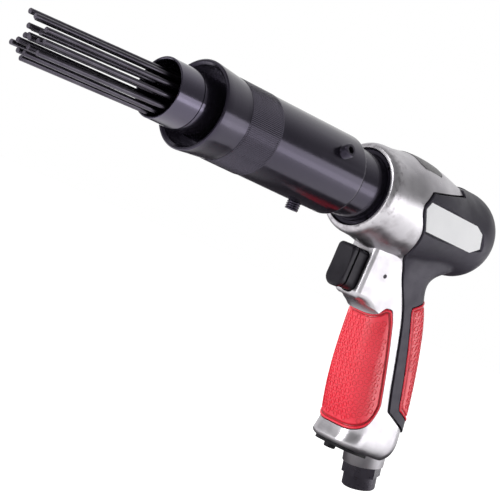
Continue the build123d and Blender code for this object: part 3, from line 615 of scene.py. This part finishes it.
def ringPlaces(size, mesh):
    tree = BVHTree.FromPolygons([v.co for v in mesh.vertices], [p.vertices for p in mesh.polygons])
    places = []
    drop = gripRing["alongPitch"] * math.cos(math.radians(gripRing["rake"]))
    away = gripField["castFrom"] * millimetre
    top, foot = size["stations"][0][0], size["stations"][-1][0]
    for row in range(-gripRing["rows"], gripRing["rows"] + 1):
        height = top - (drop / 2 if row % 2 else 0.0)
        while height > foot:
            point, outward = aroundHandle(size, height, row * gripRing["acrossPitch"])
            hit, facing = tree.ray_cast(point + outward * away, -outward)[:2]
            faced = hit is not None and facing.dot(outward) > gripField["facing"]
            if faced and liesInField(tree, hit, facing):
                places.append(hit)
            height -= drop
    return places


def startNodes(name, sockets):
    # Empty node group that takes these kinds of named inputs
    group = bpy.data.node_groups.new(name, "GeometryNodeTree")
    group.interface.new_socket("Geometry", in_out="INPUT", socket_type="NodeSocketGeometry")
    for kind, labels in sockets.items():
        for label in labels:
            group.interface.new_socket(label, in_out="INPUT", socket_type="NodeSocket" + kind)
    group.interface.new_socket("Geometry", in_out="OUTPUT", socket_type="NodeSocketGeometry")
    return group


def endNodes(group, geometry, finish):
    coloured = group.nodes.new("GeometryNodeSetMaterial")
    group.links.new(geometry, coloured.inputs["Geometry"])
    group.links.new(finish, coloured.inputs["Material"])
    group.links.new(coloured.outputs["Geometry"], group.nodes.new("NodeGroupOutput").inputs["Geometry"])
    return group


def makeRingNodes():
    group = startNodes("gripRings", {
        "Object": ["Field"], "Float": ["Ring Radius", "Ring Width", "Ring Height", "Lift"],
        "Int": ["Segments"], "Material": ["Finish"],
    })
    add, link = group.nodes.new, group.links.new
    given = add("NodeGroupInput").outputs
    field = add("GeometryNodeObjectInfo")
    field.transform_space = "RELATIVE"
    link(given["Field"], field.inputs["Object"])
    circle = add("GeometryNodeCurvePrimitiveCircle")
    link(given["Segments"], circle.inputs["Resolution"])
    link(given["Ring Radius"], circle.inputs["Radius"])
    bead = add("GeometryNodeCurvePrimitiveQuadrilateral")
    link(given["Ring Width"], bead.inputs["Width"])
    link(given["Ring Height"], bead.inputs["Height"])
    ring = add("GeometryNodeCurveToMesh")
    link(circle.outputs["Curve"], ring.inputs["Curve"])
    link(bead.outputs["Curve"], ring.inputs["Profile Curve"])
    # Height of each point of a ring over the field
    ringAxes = add("ShaderNodeSeparateXYZ")
    link(add("GeometryNodeInputPosition").outputs["Position"], ringAxes.inputs["Vector"])
    rise = add("ShaderNodeMath")
    link(ringAxes.outputs["Z"], rise.inputs[0])
    link(given["Lift"], rise.inputs[1])
    keep = add("GeometryNodeStoreNamedAttribute")
    keep.inputs["Name"].default_value = "rise"
    link(ring.outputs["Mesh"], keep.inputs["Geometry"])
    link(rise.outputs["Value"], keep.inputs["Value"])

    def fieldNormal():
        sample = add("GeometryNodeSampleNearestSurface")
        sample.data_type = "FLOAT_VECTOR"
        link(field.outputs["Geometry"], sample.inputs["Mesh"])
        link(add("GeometryNodeInputNormal").outputs["Normal"], sample.inputs["Value"])
        return sample.outputs["Value"]

    turn = add("FunctionNodeAlignRotationToVector")
    turn.axis = "Z"
    link(fieldNormal(), turn.inputs["Vector"])
    rings = add("GeometryNodeInstanceOnPoints")
    link(given["Geometry"], rings.inputs["Points"])
    link(keep.outputs["Geometry"], rings.inputs["Instance"])
    link(turn.outputs["Rotation"], rings.inputs["Rotation"])
    real = add("GeometryNodeRealizeInstances")
    link(rings.outputs["Instances"], real.inputs["Geometry"])
    # Each point goes to the nearest place on the field and rises by its height
    nearest = add("GeometryNodeProximity")
    link(field.outputs["Geometry"], nearest.inputs["Geometry"])
    stored = add("GeometryNodeInputNamedAttribute")
    stored.inputs["Name"].default_value = "rise"
    lifted = add("ShaderNodeVectorMath")
    lifted.operation = "SCALE"
    link(fieldNormal(), lifted.inputs["Vector"])
    link(stored.outputs["Attribute"], lifted.inputs["Scale"])
    total = add("ShaderNodeVectorMath")
    link(nearest.outputs["Position"], total.inputs[0])
    link(lifted.outputs["Vector"], total.inputs[1])
    laid = add("GeometryNodeSetPosition")
    link(real.outputs["Geometry"], laid.inputs["Geometry"])
    link(total.outputs["Vector"], laid.inputs["Position"])
    return endNodes(group, laid.outputs["Geometry"], given["Finish"])


def grownMesh(name, points, group, inputs):
    # Plain mesh that a node group grows on the given points
    seed = bpy.data.meshes.new(name + "Seed")
    seed.from_pydata(points, [], [])
    helper = bpy.data.objects.new(name + "Seed", seed)
    scene.collection.objects.link(helper)
    grower = helper.modifiers.new("grower", "NODES")
    grower.node_group = group
    sockets = {item.name: item.identifier for item in group.interface.items_tree if item.in_out == "INPUT"}
    for label, value in inputs.items():
        grower[sockets[label]] = value
    mesh = evaluated(helper, name)
    helper.modifiers.remove(grower)
    bpy.data.objects.remove(helper)
    return mesh


shadeGroove(finishes["red_rubber"])
ringNodes = makeRingNodes()
for node, size in grips.items():
    name = pieceName(node)
    mesh = roundedMesh(node, name)
    carveBead(mesh, node)
    grip = addPiece(name, mesh, "red_rubber", bodyOfNode[node], node)
    places = ringPlaces(size, mesh)
    rings = grownMesh(name + "Rings", places, ringNodes, {
        "Field": grip, "Ring Radius": gripRing["radius"] * millimetre,
        "Ring Width": gripRing["width"] * millimetre, "Ring Height": gripRing["height"] * millimetre,
        "Lift": gripRing["lift"] * millimetre, "Segments": gripRing["segments"],
        "Finish": finishes["ringRed"],
    })
    smoothFaces(rings, sharpFrom["bead"])
    addPiece(name + "Rings", rings, "red_rubber", bodyOfNode[node], finish="ringRed")
    print("grip:", node, len(mesh.polygons), "faces,", len(places), "rings")


# Knurled band of the sleeve: fine straight ridges that run out at both ends

knurl = {"count": 147, "bandRadius": 23.30, "ridgeRadius": 0.44, "length": 24.75, "middle": -103.25,
         "sides": 8, "stations": 25, "endShare": 0.04, "endRadius": 0.15}


def makeKnurlNodes():
    group = startNodes("knurlRidges", {
        "Int": ["Count", "Sides", "Stations"],
        "Float": ["Band Radius", "Ridge Radius", "Ridge Length", "End Share", "End Radius"],
        "Material": ["Finish"],
    })
    add, link = group.nodes.new, group.links.new
    given = add("NodeGroupInput").outputs
    circle = add("GeometryNodeMeshCircle")
    link(given["Count"], circle.inputs["Vertices"])
    link(given["Band Radius"], circle.inputs["Radius"])
    line = add("GeometryNodeCurvePrimitiveLine")
    line.mode = "DIRECTION"
    line.inputs["Direction"].default_value = (0.0, 0.0, 1.0)
    link(given["Ridge Length"], line.inputs["Length"])
    stations = add("GeometryNodeResampleCurve")
    link(line.outputs["Curve"], stations.inputs["Curve"])
    link(given["Stations"], stations.inputs["Count"])
    # A ridge grows thin towards both ends
    along = add("GeometryNodeSplineParameter").outputs["Factor"]
    left = add("ShaderNodeMath")
    left.operation = "SUBTRACT"
    left.inputs[0].default_value = 1.0
    link(along, left.inputs[1])
    nearest = add("ShaderNodeMath")
    nearest.operation = "MINIMUM"
    link(along, nearest.inputs[0])
    link(left.outputs["Value"], nearest.inputs[1])
    runOut = add("ShaderNodeMapRange")
    link(nearest.outputs["Value"], runOut.inputs["Value"])
    link(given["End Share"], runOut.inputs["From Max"])
    link(given["End Radius"], runOut.inputs["To Min"])
    tapered = add("GeometryNodeSetCurveRadius")
    link(stations.outputs["Curve"], tapered.inputs["Curve"])
    link(runOut.outputs["Result"], tapered.inputs["Radius"])
    section = add("GeometryNodeCurvePrimitiveCircle")
    link(given["Sides"], section.inputs["Resolution"])
    link(given["Ridge Radius"], section.inputs["Radius"])
    ridge = add("GeometryNodeCurveToMesh")
    ridge.inputs["Fill Caps"].default_value = True
    link(tapered.outputs["Curve"], ridge.inputs["Curve"])
    link(section.outputs["Curve"], ridge.inputs["Profile Curve"])
    ridges = add("GeometryNodeInstanceOnPoints")
    link(circle.outputs["Mesh"], ridges.inputs["Points"])
    link(ridge.outputs["Mesh"], ridges.inputs["Instance"])
    real = add("GeometryNodeRealizeInstances")
    link(ridges.outputs["Instances"], real.inputs["Geometry"])
    return endNodes(group, real.outputs["Geometry"], given["Finish"])


ridges = grownMesh("knurlRidges", [(0.0, 0.0, 0.0)], makeKnurlNodes(), {
    "Count": knurl["count"], "Sides": knurl["sides"], "Stations": knurl["stations"],
    "Band Radius": knurl["bandRadius"] * millimetre, "Ridge Radius": knurl["ridgeRadius"] * millimetre,
    "Ridge Length": knurl["length"] * millimetre, "End Share": knurl["endShare"],
    "End Radius": knurl["endRadius"], "Finish": finishes["black_steel"],
})
bandStart = spot(knurl["middle"] - knurl["length"] / 2, 0, 0)
ridges.transform(Matrix.Translation(bandStart) @ Matrix.Rotation(math.pi / 2, 4, "Y"))
smoothFaces(ridges, sharpFrom["bead"])
addPiece("knurlRidges", ridges, "black_steel", "tool")
print("knurl:", len(ridges.polygons), "faces")


# Threads of the set screws and of the air inlet

setScrew = {"outer": 4.0, "root": 3.45, "pitch": 1.25, "length": 9.3, "foot": 19.1, "place": -41.0,
            "chamfer": 0.5, "socket": 2.3, "socketDepth": 3.0, "angles": (30.0, 150.0, 270.0)}
inletThread = {"bore": 5.9, "crest": 5.50, "pitch": 1.34, "start": 0.9, "end": 13.4, "rake": 17.0,
               "sunk": 0.05, "backing": 0.25}
threadGrid = {"around": 24, "rowsPerTurn": 6, "steepness": 1.35}


def circlePoints(radiusAt, height):
    points = []
    for step in range(threadGrid["around"]):
        angle = 2 * math.pi * step / threadGrid["around"]
        radius = radiusAt(angle)
        points.append(Vector((radius * math.cos(angle), radius * math.sin(angle), height)))
    return points


def threadRise(height, angle, pitch):
    # Share of the thread's depth, rising and falling once in each pitch
    share = (height / pitch - angle / (2 * math.pi)) % 1.0
    return min(1.0, threadGrid["steepness"] * (1.0 - abs(2.0 * share - 1.0)))


def threadHeights(start, end, pitch):
    rows = round((end - start) / pitch * threadGrid["rowsPerTurn"])
    return [start + (end - start) * row / rows for row in range(rows + 1)]


def skinMesh(name, stacks, closed):
    # Closed skin over stacks of rings, with flat ends or joined end to end
    skin = bmesh.new()
    for rings, place in stacks:
        rows = [[skin.verts.new(place @ (point * millimetre)) for point in ring] for ring in rings]
        pairs = list(zip(rows, rows[1:]))
        if closed:
            pairs.append((rows[-1], rows[0]))
        else:
            skin.faces.new(rows[0][::-1])
            skin.faces.new(rows[-1])
        for lower, upper in pairs:
            for step in range(len(lower)):
                after = (step + 1) % len(lower)
                skin.faces.new((lower[step], lower[after], upper[after], upper[step]))
    mesh = bpy.data.meshes.new(name)
    skin.to_mesh(mesh)
    skin.free()
    smoothFaces(mesh, sharpFrom["thread"])
    return mesh


def hexagonRadius(corner):
    # Distance to a hexagon's side by direction
    return lambda angle: corner * math.cos(math.pi / 6) / math.cos((angle % (math.pi / 3)) - math.pi / 6)


def setScrewRings():
    size = setScrew

    def radiusAt(height):
        limit = size["outer"] - max(0.0, height - size["length"] + size["chamfer"])
        depth = size["outer"] - size["root"]
        return lambda angle: min(limit, size["root"] + depth * threadRise(height, angle, size["pitch"]))

    heights = threadHeights(0.0, size["length"], size["pitch"])
    rings = [circlePoints(radiusAt(height), height) for height in heights]
    socket = hexagonRadius(size["socket"])
    rings.append(circlePoints(socket, size["length"]))
    rings.append(circlePoints(socket, size["length"] - size["socketDepth"]))
    return rings


def setScrewPlace(angle):
    outward = Vector((0.0, math.cos(angle), math.sin(angle)))
    along = Vector((1.0, 0.0, 0.0))
    turned = Matrix((along, outward.cross(along), outward)).transposed().to_4x4()
    foot = spot(setScrew["place"], 0, 0) + outward * setScrew["foot"] * millimetre
    return Matrix.Translation(foot) @ turned


def inletThreadRings():
    size = inletThread
    root = size["bore"] + size["sunk"]
    depth = size["bore"] - size["crest"]

    def radiusAt(height):
        fade = min(1.0, (height - size["start"]) / size["pitch"], (size["end"] - height) / size["pitch"])
        return lambda angle: root - depth * fade * threadRise(height, angle, size["pitch"])

    heights = threadHeights(size["start"], size["end"], size["pitch"])
    rings = [circlePoints(radiusAt(height), height) for height in reversed(heights)]
    for height in (size["start"], size["end"]):
        rings.append(circlePoints(lambda angle: size["bore"] + size["backing"], height))
    return rings


screwStacks = [(setScrewRings(), setScrewPlace(math.radians(angle))) for angle in setScrew["angles"]]
screwMesh = skinMesh("setScrewThreads", screwStacks, False)
addPiece("setScrewThreads", screwMesh, "black_steel", "tool", "set_screws")
inletAxis = Matrix.Rotation(-math.radians(inletThread["rake"]), 4, "Y")
inletMesh = skinMesh("inletThread", [(inletThreadRings(), inletAxis)], True)
addPiece("inletThread", inletMesh, "black_steel", "tool")
print("threads made")


# Finger hollow: the foot of the trigger housing is eased into the round front of the handle

fingerHollow = {"top": -59.3, "foot": -71.9, "levels": 20, "startX": 29.5, "centreZ": -71.3, "radius": 12.5,
                "handleX": 43.9, "cornerTop": 4.0, "cornerFoot": 12.5, "eased": 0.42, "steps": 16,
                "frontX": 24.0, "frontHalf": 10.1, "flare": 0.2018, "widest": 16.1,
                "clearX": 15.0, "clearY": 30.0}


def hollowRing(height):
    # Level outline of what is taken away in front of the housing at this height
    size = fingerHollow
    share = (size["top"] - height) / (size["top"] - size["foot"])
    rise = max(0.0, height - size["centreZ"])
    front = size["startX"] + math.sqrt(size["radius"] ** 2 - rise ** 2)
    front += (size["handleX"] - size["startX"] - size["radius"]) * share
    grown = min(1.0, share / size["eased"])
    corner = size["cornerTop"] + (size["cornerFoot"] - size["cornerTop"]) * grown * (2.0 - grown)
    half = min(size["widest"], size["frontHalf"] + (front + corner - size["frontX"]) * size["flare"])
    arc = []
    for step in range(size["steps"] + 1):
        angle = math.pi / 2 * step / size["steps"]
        arc.append((front + corner - corner * math.cos(angle), half - corner + corner * math.sin(angle)))
    left = [(x, -y) for x, y in reversed(arc)]
    near, side, clear = size["clearX"], front + corner, size["clearY"]
    outline = [(near, -clear), (side, -clear), *left, *arc, (side, clear), (near, clear)]
    return [Vector((x, y, height)) for x, y in outline]


def easedBody(name):
    size = fingerHollow
    heights = [size["foot"] + (size["top"] - size["foot"]) * level / size["levels"]
               for level in range(size["levels"] + 1)]
    rings = [hollowRing(height) for height in heights]
    cutterMesh = skinMesh("hollowCutter", [(rings, Matrix.Translation(spot(0, 0, 0)))], False)
    cutter = bpy.data.objects.new("hollowCutter", cutterMesh)
    helper = bpy.data.objects.new(name + "Helper", mergedMesh("body", name + "Helper"))
    for item in (cutter, helper):
        scene.collection.objects.link(item)
    carve = helper.modifiers.new("carve", "BOOLEAN")
    carve.operation = "DIFFERENCE"
    carve.solver = "EXACT"
    carve.object = cutter
    mesh = evaluated(helper, name)
    for item in (cutter, helper):
        bpy.data.objects.remove(item)
    smoothFaces(mesh, sharpFrom["plain"])
    return mesh


bodyMesh = easedBody(pieceName("body"))
addPiece(pieceName("body"), bodyMesh, "cast_aluminium", bodyOfNode["body"], "body")
print("finger hollow eased,", len(bodyMesh.polygons), "faces")


# Springs: in the tool each one shortens as the piece at its end moves; here they are smooth copies, the needle
# spring cut in two stretches by the share of the two travels

needleCoil = {"node": "needle_spring", "front": "needleSpringFront", "rear": "needleSpringRear"}
throttleCoil = {"node": "throttle_spring", "name": "throttleSpringCoil"}
travels = {joint["name"]: max(joint["range_m"]) for joint in frame["joints"]}


def addCoil(name, node, fixed, moving, cut=False):
    # Stretch of a spring between a fixed place and the end that the joint moves
    mesh = mergedMesh(node, name)
    if cut:
        coil = bmesh.new()
        coil.from_mesh(mesh)
        place, away = (fixed, 0.0, 0.0), (math.copysign(1.0, fixed - moving), 0.0, 0.0)
        parts = [*coil.verts, *coil.edges, *coil.faces]
        bmesh.ops.bisect_plane(coil, geom=parts, plane_co=place, plane_no=away, clear_outer=True)
        bmesh.ops.holes_fill(coil, edges=coil.edges)
        coil.to_mesh(mesh)
        coil.free()
    smoothFaces(mesh, sharpFrom["thread"])
    piece = addPiece(name, mesh, "plain_steel", "tool", node)
    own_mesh(piece)


def addNeedleCoils():
    # The guide tube presses the front stretch and the holder the rear one, each by its own travel
    low, high = (corner[0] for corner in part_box(needleCoil["node"]))
    share = travels["tube_push"] / (travels["tube_push"] + travels["holder_slide"])
    middle = low + (high - low) * share
    addCoil(needleCoil["front"], needleCoil["node"], middle, low, True)
    addCoil(needleCoil["rear"], needleCoil["node"], middle, high, True)


def addThrottleCoil():
    low, high = (corner[0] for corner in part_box(throttleCoil["node"]))
    addCoil(throttleCoil["name"], throttleCoil["node"], high, low)


addNeedleCoils()
addThrottleCoil()
